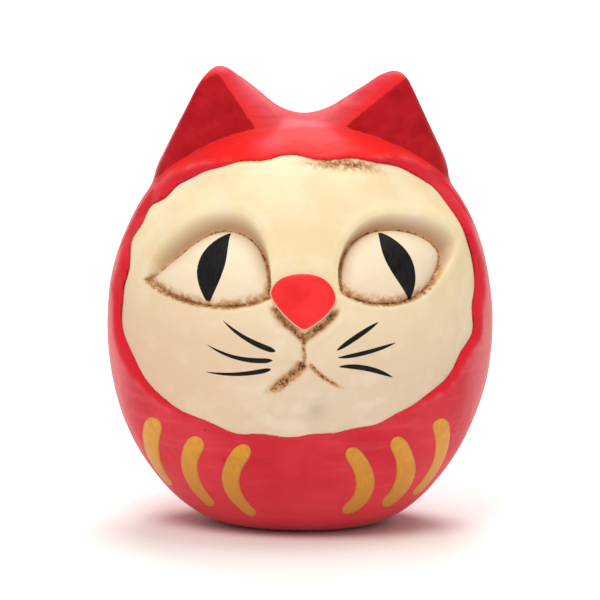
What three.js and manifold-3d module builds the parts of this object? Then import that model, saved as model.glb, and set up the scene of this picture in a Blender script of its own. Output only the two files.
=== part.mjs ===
// A cat-shaped daruma: a hollow papier-mache egg in two halves, with a set-in face, two ears and a clay weight.
// Millimetres, +Z up, the face looks along -Y. The flat underside lies on z = 0, centred on x = y = 0.
import * as THREE from "three";
import { ConvexGeometry } from "three/addons/geometries/ConvexGeometry.js";
import { mergeVertices } from "three/addons/utils/BufferGeometryUtils.js";
import Module from "manifold-3d";

// The egg: an elliptical plan whose width follows one power curve above the waist and another below it.
const HALF_WIDTH = 42;
const HALF_DEPTH = 38.5;
const WAIST_Z = 44.5; // height of the widest section
const RISE = 44.7; // from the waist to the crown
const DROP = 48.2; // from the waist to where the lower curve would close, just under the base
const RISE_POWER = 2.1;
const DROP_POWER = 2.15;
const ROUND_STEPS = 40; // facets round the egg
const ARC_STEPS = 9; // facets from base to waist, and again from waist to crown

// Paper, joints and gaps.
const WALL = 2.4;
const GAP = 0.3; // between pieces that touch on the real object
const SEAM_Y = 4; // the front and back halves meet on this plane
const STRIP_WIDTH = 8;
const STRIP_THICKNESS = 0.8;
const STRIP_FOOT_Z = 20; // the strip stops above the weight

// The face opening in front view: power curves of different height above and below its widest line.
const FACE_X = -0.3;
const FACE_Z = 48.3;
const FACE_HALF_WIDTH = 37.7;
const FACE_RISE = 33.7;
const FACE_DROP = 24;
const FACE_RISE_POWER = 2.4;
const FACE_DROP_POWER = 2.16;
const FACE_SKEW = 0.035; // the widest line climbs a little to the right
const OUTLINE_STEPS = 48;
const FACE_INSET = 1.6; // how far the face lies below the hood's surface
const FACE_FLANGE = 3; // the hidden edge glued behind the hood
const FACE_BACK = 6; // the back of the panel, below the hood's surface
const OPENING_BACK_Y = -4; // the opening is cut no further back than this

// Base.
const PLUG_RADIUS = 13; // of the hole in the underside
const PLUG_THICKNESS = 2;
const HOLLOW_FLOOR_Z = 0.5; // the hollow is cut flat here, inside the hole
const WEIGHT_SIDE_Z = 12;
const WEIGHT_TOP_Z = 14.5;
const DOME_STEPS = 4;

// Eyes and nose, in front view as [x, z]: each outline is a start and curves of two handles and an end.
const SEAT_INSET = 3.7; // the backs of the eyes and nose lie this far below the hood's surface
const EYE_BALL = [18, 8.5, 12]; // half sizes of the ball that each eye's dome is part of
const EYE_TILT = -15; // degrees: the eyes look a little upwards
const EYE_TURN = 27; // degrees: and outwards, along the curve of the face
const EYES = [
  {
    name: "left_eyeball",
    side: -1,
    centre: [-15.1, -23.4, 56.8],
    lid: {
      start: [-32.9, 55.2],
      curves: [
        [[-27, 51.5], [-16, 49.6], [-6.6, 53.9]],
        [[-6.2, 63], [-11, 68], [-16.5, 67.9]],
        [[-22, 67.8], [-28, 61.8], [-32.9, 55.2]],
      ],
    },
    rim: {
      start: [-33.6, 55.6],
      curves: [
        [[-27, 51.2], [-16, 49.2], [-6.2, 53.5]],
        [[-5.6, 64], [-8, 71.4], [-15, 71.4]],
        [[-24, 71], [-31, 64.5], [-33.6, 55.6]],
      ],
    },
  },
  {
    name: "right_eyeball",
    side: 1,
    centre: [15.4, -23.4, 56.8],
    lid: {
      start: [9, 55.4],
      curves: [
        [[13, 51.9], [23.5, 50.9], [27.9, 55.5]],
        [[30, 57.8], [31.8, 60.4], [31.6, 62.2]],
        [[30, 66], [24, 68.5], [18.6, 68.4]],
        [[11, 68.2], [7.2, 62], [9, 55.4]],
      ],
    },
    rim: {
      start: [8.6, 54.9],
      curves: [
        [[13, 51.5], [23.5, 50.5], [28.4, 55.2]],
        [[31, 58], [33.8, 60.4], [33.6, 63.6]],
        [[32, 68], [25, 71], [18.6, 71]],
        [[9.6, 70.6], [6.4, 62], [8.6, 54.9]],
      ],
    },
  },
];
const NOSE = {
  start: [0.9, 47.5],
  curves: [
    [[2, 47.5], [7.9, 51.6], [7.3, 54.2]],
    [[6.7, 57.4], [4, 58.9], [0.8, 58.9]],
    [[-2.6, 58.9], [-5.4, 57.8], [-6, 55]],
    [[-6.3, 52.9], [-0.4, 47.5], [0.9, 47.5]],
  ],
};
const NOSE_BEVEL = 1.1;
const CURVE_STEPS = 6;

// Each ear is the hull of four balls: its tip and three feet sunk in the egg.
const BALL_STEPS = 12;
const EARS = [
  {
    name: "left_ear",
    balls: [
      { at: [-18.8, -4.2, 96.2], radius: 3.8 },
      { at: [-3, -6.5, 84], radius: 3 },
      { at: [-33.6, 2.5, 66], radius: 3 },
      { at: [-19, 14, 78], radius: 4 },
    ],
  },
  {
    name: "right_ear",
    balls: [
      { at: [20.3, -4.9, 96.8], radius: 2.9 },
      { at: [4, -6.5, 84.4], radius: 3 },
      { at: [33.6, 2.5, 66], radius: 3 },
      { at: [20, 14, 78], radius: 4 },
    ],
  },
];

const BIG = 130; // larger than the doll, for cutting tools

const MATERIALS = {
  redPaint: new THREE.MeshStandardMaterial({ color: 0xdb3b45, roughness: 0.5 }),
  creamPaint: new THREE.MeshStandardMaterial({ color: 0xf3e2bd, roughness: 0.65 }),
  nosePaint: new THREE.MeshStandardMaterial({ color: 0xf5383b, roughness: 0.45 }),
  innerPaper: new THREE.MeshStandardMaterial({ color: 0xcdbb98, roughness: 0.9 }),
  clay: new THREE.MeshStandardMaterial({ color: 0x9a7a5c, roughness: 0.95 }),
};

const wasm = await Module();
wasm.setup();

// A closed three.js geometry as a manifold-3d solid.
function solidOf(geometry) {
  const bare = geometry.clone();
  bare.deleteAttribute("normal");
  bare.deleteAttribute("uv");
  const merged = mergeVertices(bare, 1e-4);
  return new wasm.Manifold(
    new wasm.Mesh({
      numProp: 3,
      vertProperties: merged.attributes.position.array,
      triVerts: new Uint32Array(merged.index.array),
    }),
  );
}

// A solid as a named mesh.
function piece(name, solid, material) {
  const made = solid.getMesh();
  const geometry = new THREE.BufferGeometry();
  geometry.setAttribute("position", new THREE.BufferAttribute(made.vertProperties, 3));
  geometry.setIndex(new THREE.BufferAttribute(made.triVerts, 1));
  geometry.computeVertexNormals();
  const mesh = new THREE.Mesh(geometry, material);
  mesh.name = name;
  return mesh;
}

// One side of the egg as [radius, height] points from floor to crown, for an egg smaller all round by inset.
// The sine and cosine powers spread the points evenly along each power curve.
function eggSide(inset, floor) {
  const points = [];
  const width = HALF_WIDTH - inset;
  const drop = DROP - inset;
  const floorShare = Math.min((WAIST_Z - floor) / drop, 1);
  const floorAngle = Math.asin(floorShare ** (DROP_POWER / 2));
  for (let i = 0; i < ARC_STEPS; i += 1) {
    const angle = floorAngle * (1 - i / ARC_STEPS);
    const radius = width * Math.cos(angle) ** (2 / DROP_POWER);
    points.push([radius, WAIST_Z - drop * Math.sin(angle) ** (2 / DROP_POWER)]);
  }
  for (let i = 0; i < ARC_STEPS; i += 1) {
    const angle = ((i / ARC_STEPS) * Math.PI) / 2;
    const radius = width * Math.cos(angle) ** (2 / RISE_POWER);
    points.push([radius, WAIST_Z + (RISE - inset) * Math.sin(angle) ** (2 / RISE_POWER)]);
  }
  return points;
}

// A closed solid turned about Z from a profile of [radius, height], flattened to the egg's plan.
function turned(profile, inset) {
  const points = profile.map(([radius, height]) => new THREE.Vector2(radius, height));
  const geometry = new THREE.LatheGeometry(points, ROUND_STEPS);
  geometry.rotateX(Math.PI / 2);
  geometry.scale(1, (HALF_DEPTH - inset) / (HALF_WIDTH - inset), 1);
  return solidOf(geometry);
}

// The egg made smaller all round by inset, or larger when inset is negative, cut flat at floor.
function egg(inset, floor = 0) {
  const side = eggSide(inset, floor);
  return turned([[0, side[0][1]], ...side, [0, WAIST_Z + RISE - inset]], inset);
}

// A box from low to high.
function block(low, high) {
  const size = high.map((value, axis) => value - low[axis]);
  const middle = high.map((value, axis) => (value + low[axis]) / 2);
  const geometry = new THREE.BoxGeometry(...size);
  geometry.translate(...middle);
  return solidOf(geometry);
}

// A shape drawn in front view (x across, z up), made solid from backY forwards to frontY.
function frontPrism(shape, frontY, backY, bevel = 0) {
  const geometry = new THREE.ExtrudeGeometry(shape, {
    depth: backY - frontY - bevel,
    bevelEnabled: bevel > 0,
    bevelThickness: bevel,
    bevelSize: bevel,
    bevelOffset: -bevel,
    bevelSegments: 3,
  });
  geometry.rotateX(Math.PI / 2);
  geometry.translate(0, backY, 0);
  return solidOf(geometry);
}

// The opening's outline grown by a margin.
function faceOutline(margin) {
  const points = [];
  for (let i = 0; i < OUTLINE_STEPS; i += 1) {
    const angle = (i / OUTLINE_STEPS) * 2 * Math.PI;
    const across = Math.cos(angle);
    const up = Math.sin(angle);
    const power = up > 0 ? FACE_RISE_POWER : FACE_DROP_POWER;
    const height = (up > 0 ? FACE_RISE : FACE_DROP) + margin;
    const x = (FACE_HALF_WIDTH + margin) * Math.sign(across) * Math.abs(across) ** (2 / power);
    const z = height * Math.sign(up) * Math.abs(up) ** (2 / power);
    points.push(new THREE.Vector2(FACE_X + x, FACE_Z + z + FACE_SKEW * x));
  }
  return new THREE.Shape(points);
}

// Everything in front of the opening's back, inside the outline.
function faceColumn(margin) {
  return frontPrism(faceOutline(margin), -BIG, OPENING_BACK_Y);
}

// A round of the given radius on the base's axis: the hole in the underside, or the disc that closes it.
function baseRound(radius, lowZ, highZ) {
  return turned([[0, lowZ], [radius, lowZ], [radius, highZ], [0, highZ]], 0);
}

// The whole hollow paper body, before it is parted into halves.
function bodyShell() {
  const hollow = egg(WALL, HOLLOW_FLOOR_Z).add(baseRound(PLUG_RADIUS, -1, PLUG_THICKNESS + 1));
  return egg(0).subtract(hollow);
}

function frontHalf(body) {
  const half = body.intersect(block([-BIG, -BIG, -BIG], [BIG, SEAM_Y - GAP / 2, BIG]));
  return half.subtract(faceColumn(0));
}

function backHalf(body) {
  return body.intersect(block([-BIG, SEAM_Y + GAP / 2, -BIG], [BIG, BIG, BIG]));
}

// The strip of paper glued over the seam from inside, an arch that ends above the weight.
function seamStrip() {
  const band = block(
    [-BIG, SEAM_Y - STRIP_WIDTH / 2, STRIP_FOOT_Z],
    [BIG, SEAM_Y + STRIP_WIDTH / 2, BIG],
  );
  const outside = egg(WALL + GAP, HOLLOW_FLOOR_Z);
  return outside.subtract(egg(WALL + GAP + STRIP_THICKNESS, 0)).intersect(band);
}

// A closed outline as a column along Y, its points moved out from their middle by a margin.
function outlineColumn(outline, margin, frontY, bevel = 0) {
  const shape = new THREE.Shape().moveTo(...outline.start);
  for (const [near, far, end] of outline.curves) {
    shape.bezierCurveTo(...near, ...far, ...end);
  }
  const points = shape.getPoints(CURVE_STEPS).slice(1);
  const bounds = new THREE.Box2().setFromPoints(points);
  const middle = bounds.getCenter(new THREE.Vector2());
  const half = bounds.getSize(new THREE.Vector2()).multiplyScalar(0.5);
  const growth = new THREE.Vector2(1 + margin / half.x, 1 + margin / half.y);
  const grown = points.map((point) => point.sub(middle).multiply(growth).add(middle));
  return frontPrism(new THREE.Shape(grown), frontY, OPENING_BACK_Y, bevel);
}

// An eye's dome, before its back is cut to its seat.
function eyeDome(eye) {
  const ball = new THREE.SphereGeometry(1, 24, 12);
  ball.scale(...EYE_BALL);
  return solidOf(ball)
    .rotate([EYE_TILT, 0, eye.side * EYE_TURN])
    .translate(eye.centre)
    .intersect(outlineColumn(eye.lid, 0, -HALF_DEPTH));
}

// The face panel: its middle stands forward through the opening, its edge is glued behind the hood.
function facePanel(sockets) {
  const back = egg(FACE_BACK);
  const edge = egg(WALL + GAP).intersect(faceColumn(FACE_FLANGE));
  const middle = egg(FACE_INSET).intersect(faceColumn(-GAP));
  return edge.add(middle).subtract(back).subtract(sockets);
}

// One ear, its foot shaped to the egg.
function ear(balls) {
  const points = [];
  for (const { at, radius } of balls) {
    const ball = new THREE.SphereGeometry(radius, BALL_STEPS, BALL_STEPS);
    ball.rotateX(Math.PI / 2);
    ball.translate(...at);
    const place = ball.attributes.position;
    for (let i = 0; i < place.count; i += 1) {
      points.push(new THREE.Vector3().fromBufferAttribute(place, i));
    }
  }
  return solidOf(new ConvexGeometry(points)).subtract(egg(-GAP));
}

// The clay weight, resting on the plug, shaped to the inside of the paper, with a low domed top.
function baseWeight() {
  const floor = PLUG_THICKNESS + GAP;
  const profile = [[0, floor], [HALF_WIDTH, floor]];
  for (let i = 0; i <= DOME_STEPS; i += 1) {
    const angle = (i / DOME_STEPS) * (Math.PI / 2);
    const climb = (WEIGHT_TOP_Z - WEIGHT_SIDE_Z) * Math.sin(angle);
    profile.push([HALF_WIDTH * Math.cos(angle), WEIGHT_SIDE_Z + climb]);
  }
  return egg(WALL + GAP, HOLLOW_FLOOR_Z).intersect(turned(profile, 0));
}

const daruma = new THREE.Group();
const body = bodyShell();
daruma.add(piece("shell_front", frontHalf(body), MATERIALS.redPaint));
daruma.add(piece("shell_back", backHalf(body), MATERIALS.redPaint));
daruma.add(piece("seam_strip", seamStrip(), MATERIALS.innerPaper));

const seat = egg(SEAT_INSET);
const socketFloor = egg(SEAT_INSET + GAP);
const nose = outlineColumn(NOSE, 0, -HALF_DEPTH, NOSE_BEVEL).subtract(seat);
daruma.add(piece("nose", nose, MATERIALS.nosePaint));
let sockets = outlineColumn(NOSE, GAP, -BIG).subtract(socketFloor);
for (const eye of EYES) {
  daruma.add(piece(eye.name, eyeDome(eye).subtract(seat), MATERIALS.creamPaint));
  sockets = sockets.add(outlineColumn(eye.rim, 0, -BIG).subtract(socketFloor));
}
daruma.add(piece("face_panel", facePanel(sockets), MATERIALS.creamPaint));

for (const { name, balls } of EARS) {
  daruma.add(piece(name, ear(balls), MATERIALS.redPaint));
}

daruma.add(piece("base_weight", baseWeight(), MATERIALS.clay));
daruma.add(piece("base_disc", baseRound(PLUG_RADIUS - GAP, 0, PLUG_THICKNESS), MATERIALS.innerPaper));

export default daruma;
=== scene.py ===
"""A cat-shaped daruma, painted red and cream over papier-mache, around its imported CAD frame.

Shapes are worked out in millimetres and written to meshes in metres. +Z is up and the face looks along -Y.
The hood and the ears are one implicit surface, parted into its pieces. The face, the eyes and the nose are
sheets laid over the egg, and the painted marks are thin films laid on those surfaces.
"""
import math

import bmesh
import bpy
import numpy as np
from mathutils import Matrix, Vector


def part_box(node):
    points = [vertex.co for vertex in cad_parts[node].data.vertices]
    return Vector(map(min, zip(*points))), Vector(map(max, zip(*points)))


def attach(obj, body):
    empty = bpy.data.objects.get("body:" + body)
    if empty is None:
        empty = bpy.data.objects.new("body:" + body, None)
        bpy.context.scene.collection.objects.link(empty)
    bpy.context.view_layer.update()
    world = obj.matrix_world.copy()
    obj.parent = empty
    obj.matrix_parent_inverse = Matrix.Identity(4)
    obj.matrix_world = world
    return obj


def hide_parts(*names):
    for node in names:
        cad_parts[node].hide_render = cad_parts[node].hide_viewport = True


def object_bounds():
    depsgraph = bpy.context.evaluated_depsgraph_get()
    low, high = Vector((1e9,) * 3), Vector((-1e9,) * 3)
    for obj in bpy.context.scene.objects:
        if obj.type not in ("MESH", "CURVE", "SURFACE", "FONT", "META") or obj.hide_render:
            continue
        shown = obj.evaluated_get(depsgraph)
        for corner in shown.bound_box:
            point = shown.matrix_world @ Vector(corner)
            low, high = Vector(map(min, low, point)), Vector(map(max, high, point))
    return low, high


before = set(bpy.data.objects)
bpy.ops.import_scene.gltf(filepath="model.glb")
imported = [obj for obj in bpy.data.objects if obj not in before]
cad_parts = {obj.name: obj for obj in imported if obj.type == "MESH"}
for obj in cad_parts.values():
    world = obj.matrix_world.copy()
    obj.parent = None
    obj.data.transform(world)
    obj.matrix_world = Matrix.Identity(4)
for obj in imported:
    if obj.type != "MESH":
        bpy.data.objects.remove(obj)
CAD_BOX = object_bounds()
MM = 0.001

# The egg: power curves above and below the waist, over an elliptical plan.
UNEVEN = 0.25  # room for the hand-made unevenness inside the doll's size
HALF_WIDTH = CAD_BOX[1].x / MM - UNEVEN
HALF_DEPTH = CAD_BOX[1].y / MM - UNEVEN
WAIST_Z = 44.5
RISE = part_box("shell_back")[1].z / MM - WAIST_Z
DROP = 48.2
RISE_POWER = 2.1
DROP_POWER = 2.15
LEAN = 0.5  # how far the head leans towards +X
WALL = 2.4
SEAM_Y = 4.0
PLUG_RADIUS = 13.0
BASE_ROUND = 2.5

# The face opening in front view.
FACE_X = -0.3
FACE_Z = 48.3
FACE_HALF_WIDTH = 37.7
FACE_RISE = 33.7
FACE_DROP = 24.0
FACE_RISE_POWER = 2.4
FACE_DROP_POWER = 2.16
FACE_SKEW = 0.035
FACE_INSET = 1.6  # how far the face lies below the hood at its sides
FACE_FLUSH = 0.45  # and at its top and bottom
FACE_MIDDLE_INSET = FACE_INSET - 0.3
FACE_TUCK = 0.12  # how far the face's edge runs under the hood's
FACE_BACK_INSET = 5.0
BAND_WIDE = 2.7  # the slanted edge of the hood, in front view: at the sides
BAND_NARROW = 0.35  # and at the top and bottom
OPENING_BACK_Y = -4.0

GRID_STEP = 0.56
SKIN_LUMPS = dict(seed=3, longest=34.0, shortest=11.0, height=0.10)
FACE_LUMPS = dict(seed=8, longest=26.0, shortest=8.0, height=0.06)
OUTLINE_LUMPS = dict(seed=5, longest=17.0, shortest=6.0, height=0.22)
LUMP_WAVES = 18

# Each ear is the space behind a curved front facet, between an outer, an inner, a back and a cap plane.
# A plane is given in front view by a point on it and the direction it faces, in degrees up from +X.
# The dark red of the facet ends at its own slanted line, short of the inner plane.
EAR_FRONT = (32.0, 10.2)  # half width and half depth of the upright ellipse that both facets lie on
EAR_BACK = dict(point=(2.5, 99.0), faces=30.0)  # in side view: a point as (y, z) and degrees up from +Y
EAR_TURN = 0.5  # how fast the back comes forward away from the middle of the head
EAR_TURN_ROUND = 12.0
EAR_TIP_X = 20.0
EARS = {
    "left_ear": dict(outer=(-21.6, 97.8, 155.0), inner=(-12.3, 96.2, 49.0), cap=(-20.0, 99.6, 118.0),
                     facet=(-16.5, 96.4, 35.0)),
    "right_ear": dict(outer=(23.1, 96.6, 25.0), inner=(14.2, 96.4, 128.0), cap=(20.6, 99.8, 86.0),
                      facet=(19.1, 95.7, 129.0)),
}
EAR_EDGE_INNER = 4.5  # roundness of the edge between the facet and the inner plane
EAR_EDGE_OUTER = 1.6
EAR_BACK_ROUND = 7.0
EAR_CAP_ROUND = 3.0
EAR_CREASE = 1.0  # roundness of the crease in front of the facet
EAR_BLEND = 3.4  # and of the join to the egg elsewhere
EAR_FOOT_Z = 62.0
EAR_JOINT_Z = EAR_FOOT_Z + 6  # the ears part from the hood above this height

# Outlines in front view as (x, z): a start and curves of two handles and an end.
EYES = {
    "left_eyeball": dict(
        lid=((-32.9, 55.2), ((-27, 51.5), (-16, 49.6), (-6.6, 53.9)), ((-6.2, 63), (-11, 68), (-16.5, 67.9)),
             ((-22, 67.8), (-28, 61.8), (-32.9, 55.2))),
        rim=((-33.6, 55.6), ((-27, 51.2), (-16, 49.2), (-6.2, 53.5)), ((-5.6, 64), (-8, 71.4), (-15, 71.4)),
             ((-24, 71), (-31, 64.5), (-33.6, 55.6))),
        pupil=(((-16.0, 67.4), (-21.6, 63.2), (-24.0, 59.6), (-20.3, 52.6)),
               ((-15.6, 67.2), (-15.0, 61.6), (-14.6, 59.6), (-19.3, 52.4))),
    ),
    "right_eyeball": dict(
        lid=((9, 55.4), ((13, 51.9), (23.5, 50.9), (27.9, 55.5)), ((30, 57.8), (31.8, 60.4), (31.6, 62.2)),
             ((30, 66), (24, 68.5), (18.6, 68.4)), ((11, 68.2), (7.2, 62), (9, 55.4))),
        rim=((8.6, 54.9), ((13, 51.5), (23.5, 50.5), (28.4, 55.2)), ((31, 58), (33.8, 60.4), (33.6, 63.6)),
             ((32, 68), (25, 71), (18.6, 71)), ((9.6, 70.6), (6.4, 62), (8.6, 54.9))),
        pupil=(((17.2, 67.7), (15.8, 62.0), (17.8, 60.0), (23.5, 53.2)),
               ((18.0, 67.7), (24.8, 62.6), (25.6, 58.6), (24.2, 53.2))),
    ),
}
NOSE = ((0.9, 47.5), ((2, 47.5), (7.9, 51.6), (7.3, 54.2)), ((6.7, 57.4), (4, 58.9), (0.8, 58.9)),
        ((-2.6, 58.9), (-5.4, 57.8), (-6, 55)), ((-6.3, 52.9), (-0.4, 47.5), (0.9, 47.5)))
NOSE_CENTRE = (0.8, 53.6)
NOSE_STAND = 1.75  # how far the nose stands above the face
NOSE_CROWN = 0.10  # how much lower its front is at the rim, as a share of its stand
NOSE_EDGE = (  # its rim and sides: spread past the outline, share of the stand, and how bare of red
    (-0.28, 0.88, 0.0), (-0.1, 0.82, 0.25), (0.0, 0.72, 0.7), (0.1, 0.5, 1.0),
    (0.3, 0.2, 1.0), (0.45, 0.0, 1.0), (0.45, -0.7, 1.0),
)
CREASE_DEPTH = 2.9  # of the eye's cove along the top of the eyeball
LID_DEPTH = 1.15  # of the step at the lower lid
EYE_APEX = 0.55  # how far the middle of the eyeball stands above the face
GROOVE_DEPTH = 1.25
GROOVE = ((-6.6, 52.9), (-3.4, 49.0), (1.0, 45.4), (5.2, 48.6), (9.0, 52.2))
PHILTRUM = ((1.0, 45.6), (0.8, 42.4), (1.4, 38.6))
MOUTH_LEFT = ((1.4, 40.6), (-0.8, 38.0), (-3.6, 35.0), (-8.6, 32.6))
MOUTH_RIGHT = ((1.9, 40.4), (4.2, 37.6), (6.8, 35.6), (10.8, 34.3))
MOUTH_LINES = (  # line, half width, depth and how dark its stain is
    (PHILTRUM, 0.5, 0.8, 1.0),
    (MOUTH_LEFT, 1.2, 1.5, 1.3),
    (MOUTH_RIGHT, 0.55, 0.6, 0.95),
)
MUZZLE = dict(x=0.9, z=40.2, apart=6.4, radius=6.4, height=0.75)
CHIN = dict(x=1.0, z=31.5, radius=6.0, height=0.45)
SMUDGE = dict(x=3.5, z=30.1, radius=2.2)
WORN_PATCH = dict(x=8.5, half_width=8.0, half_height=1.3)  # where the face's top edge is rubbed brown

# Whiskers: start, middle, end and half width.
WHISKERS = {
    "whisker_left_top": ((-16.3, 48.7), (-11.4, 45.2), (-4.9, 42.7), 0.66),
    "whisker_left_middle": ((-19.7, 43.3), (-13.2, 40.9), (-5.5, 40.8), 0.6),
    "whisker_left_low": ((-20.0, 37.3), (-13.0, 37.4), (-5.8, 38.9), 0.56),
    "whisker_right_top": ((7.8, 42.9), (12.0, 45.7), (16.7, 48.7), 0.8),
    "whisker_right_middle": ((8.0, 41.4), (14.0, 42.3), (20.4, 44.1), 0.68),
    "whisker_right_low": ((8.2, 39.5), (14.2, 38.9), (19.9, 36.6), 0.8),
}
# Gold strokes: the four points of a curve from the top, and half widths at the top, middle and foot.
STROKES = {
    "gold_left_outer": ((-30.6, 25.7), (-33.0, 19.0), (-30.6, 13.2), (-27.2, 9.4), (2.3, 1.5, 0.8)),
    "gold_left_middle": ((-20.8, 22.6), (-25.2, 16.9), (-23.6, 11.8), (-18.1, 5.8), (2.25, 1.85, 1.1)),
    "gold_left_inner": ((-10.5, 21.7), (-16.6, 15.0), (-15.0, 9.2), (-9.0, 4.7), (2.05, 2.0, 1.2)),
    "gold_right_inner": ((10.5, 21.4), (15.9, 15.4), (15.8, 8.8), (9.6, 5.8), (1.85, 2.2, 1.6)),
    "gold_right_middle": ((20.2, 23.3), (24.9, 17.1), (23.9, 10.2), (18.2, 6.8), (1.9, 2.25, 1.45)),
    "gold_right_outer": ((29.9, 26.5), (32.7, 19.4), (29.5, 12.5), (24.9, 8.2), (2.0, 1.35, 1.0)),
}
FILM_GOLD = 0.14
FILM_BLACK = 0.06
FILM_SUNK = 0.12

SPOKES = 560
FACE_RINGS = 150


# ---------------------------------------------------------------- numbers and curves

def smooth(low, high, value):
    """0 below low, 1 above high, with an eased climb between."""
    t = np.clip((value - low) / (high - low), 0, 1)
    return t * t * (3 - 2 * t)


def bell(value, width):
    """1 at 0, falling to nothing a few widths away."""
    return np.exp(-((value / width) ** 2))


def larger(a, b, round_over):
    """The larger of a and b, with the edge between them rounded."""
    h = np.maximum(round_over - np.abs(a - b), 0) / round_over
    return np.maximum(a, b) + h * h * round_over / 4


def smaller(a, b, round_over):
    return -larger(-a, -b, round_over)


def lumps(points, seed, longest, shortest, height):
    """Hand-made unevenness: seeded waves that run in all directions."""
    rng = np.random.default_rng(seed)
    total = 0
    for _ in range(LUMP_WAVES):
        direction = rng.normal(size=points.shape[-1])
        direction *= 2 * math.pi / rng.uniform(shortest, longest) / np.linalg.norm(direction)
        total = total + np.cos(points @ direction + rng.uniform(0, 2 * math.pi))
    return total * height * math.sqrt(2 / LUMP_WAVES)


def bezier(points, steps):
    """Points along one Bezier curve of any order, both ends included."""
    level = np.array(points, float)[:, None, :]
    t = np.linspace(0, 1, steps)[None, :, None]
    while len(level) > 1:
        level = level[:-1] * (1 - t) + level[1:] * t
    return level[0]


def closed_outline(outline, steps=30):
    """The points of an outline, without its repeated last point."""
    start = outline[0]
    points = []
    for curve in outline[1:]:
        points.append(bezier((start, *curve), steps)[:-1])
        start = curve[-1]
    return np.concatenate(points)


def line_gap(points, line, closed=False):
    """The distance from each (x, z) point to a line of points, and how far along it that is, from 0 to 1."""
    line = np.array(line, float)
    ends = np.roll(line, -1, axis=0) if closed else line[1:]
    starts = line if closed else line[:-1]
    best = np.full(len(points), 1e9)
    along = np.zeros(len(points))
    for i, (a, b) in enumerate(zip(starts, ends)):
        edge = b - a
        t = np.clip(((points - a) @ edge) / (edge @ edge), 0, 1)
        gap = np.hypot(*(points - a - t[:, None] * edge).T)
        nearer = gap < best
        best = np.where(nearer, gap, best)
        along = np.where(nearer, (i + t) / len(starts), along)
    return best, along


def outline_gap(points, outline):
    """The distance from each (x, z) point to a closed outline, negative inside it."""
    line = closed_outline(outline)
    gap, _ = line_gap(points, line, closed=True)
    inside = np.zeros(len(points), bool)
    x, z = points.T
    for (ax, az), (bx, bz) in zip(line, np.roll(line, -1, axis=0)):
        crosses = (az > z) != (bz > z)
        if crosses.any():
            inside ^= crosses & (x < ax + (z - az) / (bz - az + 1e-12) * (bx - ax))
    return np.where(inside, -gap, gap)


# ---------------------------------------------------------------- the egg and the opening

def power_gap(across, height, half_height, power):
    """How far out points lie on a power curve (1 on it), and how fast that grows across and with height."""
    t = np.abs(height) / half_height + 1e-9
    n = (across**power + t**power) ** (1 / power)
    return n, (across / n) ** (power - 1), (t / n) ** (power - 1) / half_height


def lean(z):
    """How far the egg's middle has shifted towards +X at a height."""
    return LEAN * smooth(50, 72, z)


def egg(p, inset=0.0):
    """Distance from points to the egg made smaller all round by inset, negative inside."""
    a, b = HALF_WIDTH - inset, HALF_DEPTH - inset
    x, y, z = p[..., 0] - lean(p[..., 2]), p[..., 1], p[..., 2] - WAIST_Z
    up = z > 0
    plan = np.sqrt((x / a) ** 2 + (y / b) ** 2) + 1e-6
    n, of_plan, of_height = power_gap(
        plan, z, np.where(up, RISE, DROP) - inset, np.where(up, RISE_POWER, DROP_POWER))
    slope = np.sqrt((x / a**2) ** 2 + (y / b**2) ** 2) / plan
    return (n - 1) / np.sqrt((of_plan * slope) ** 2 + of_height**2)


def opening(x, z):
    """Front-view distance from the face opening's outline, negative inside, and the angle above level."""
    across = x - FACE_X
    up = z - FACE_Z - FACE_SKEW * across
    high = up > 0
    share = np.abs(across) / FACE_HALF_WIDTH + 1e-6
    n, of_across, of_height = power_gap(
        share, up, np.where(high, FACE_RISE, FACE_DROP), np.where(high, FACE_RISE_POWER, FACE_DROP_POWER))
    gap = (n - 1) / np.sqrt((of_across / FACE_HALF_WIDTH) ** 2 + of_height**2)
    height_share = up / np.where(high, FACE_RISE, FACE_DROP)
    return gap, np.degrees(np.arctan2(height_share, share))


def wavy_opening(x, z):
    """The opening as it was cut by hand."""
    gap, angle = opening(x, z)
    return gap + lumps(np.stack([x, z], -1), **OUTLINE_LUMPS), angle


def sideness(angle):
    """1 along the sides of the opening, 0 at its top and bottom."""
    return smooth(-68, -22, angle) * (1 - smooth(48, 80, angle))


def face_inset(x, z):
    """How far the face lies below the hood's surface."""
    gap, angle = opening(x, z)
    edge_inset = FACE_FLUSH + (FACE_INSET - FACE_FLUSH) * sideness(angle)
    return edge_inset + (FACE_MIDDLE_INSET - edge_inset) * smooth(0, -16, gap)


# ---------------------------------------------------------------- the hood and the ears

def plane(across, z, at_across, at_z, faces):
    turn = math.radians(faces)
    return (across - at_across) * math.cos(turn) + (z - at_z) * math.sin(turn)


def ear_front(p):
    """Distance in front of the upright ellipse that the ear facets lie on."""
    half_width, half_depth = EAR_FRONT
    x, y = p[..., 0], np.minimum(p[..., 1], 0)
    n = np.sqrt((x / half_width) ** 2 + (y / half_depth) ** 2) + 1e-6
    slope = np.sqrt((x / half_width**2) ** 2 + (y / half_depth**2) ** 2) / n
    return (n - 1) / np.maximum(slope, 1 / half_width)


def ear(p, shape):
    """Distance to one ear, negative inside."""
    x, z = p[..., 0], p[..., 2]
    turned = p[..., 1] + EAR_TURN * (np.hypot(x, EAR_TURN_ROUND) - math.hypot(EAR_TIP_X, EAR_TURN_ROUND))
    back = plane(turned, z, *EAR_BACK["point"], EAR_BACK["faces"])
    solid = larger(ear_front(p), plane(x, z, *shape["inner"]), EAR_EDGE_INNER)
    solid = larger(solid, plane(x, z, *shape["outer"]), EAR_EDGE_OUTER)
    solid = larger(solid, plane(x, z, *shape["cap"]), EAR_CAP_ROUND)
    solid = larger(solid, back, EAR_BACK_ROUND)
    return np.maximum(solid, EAR_FOOT_Z - z)


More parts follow.
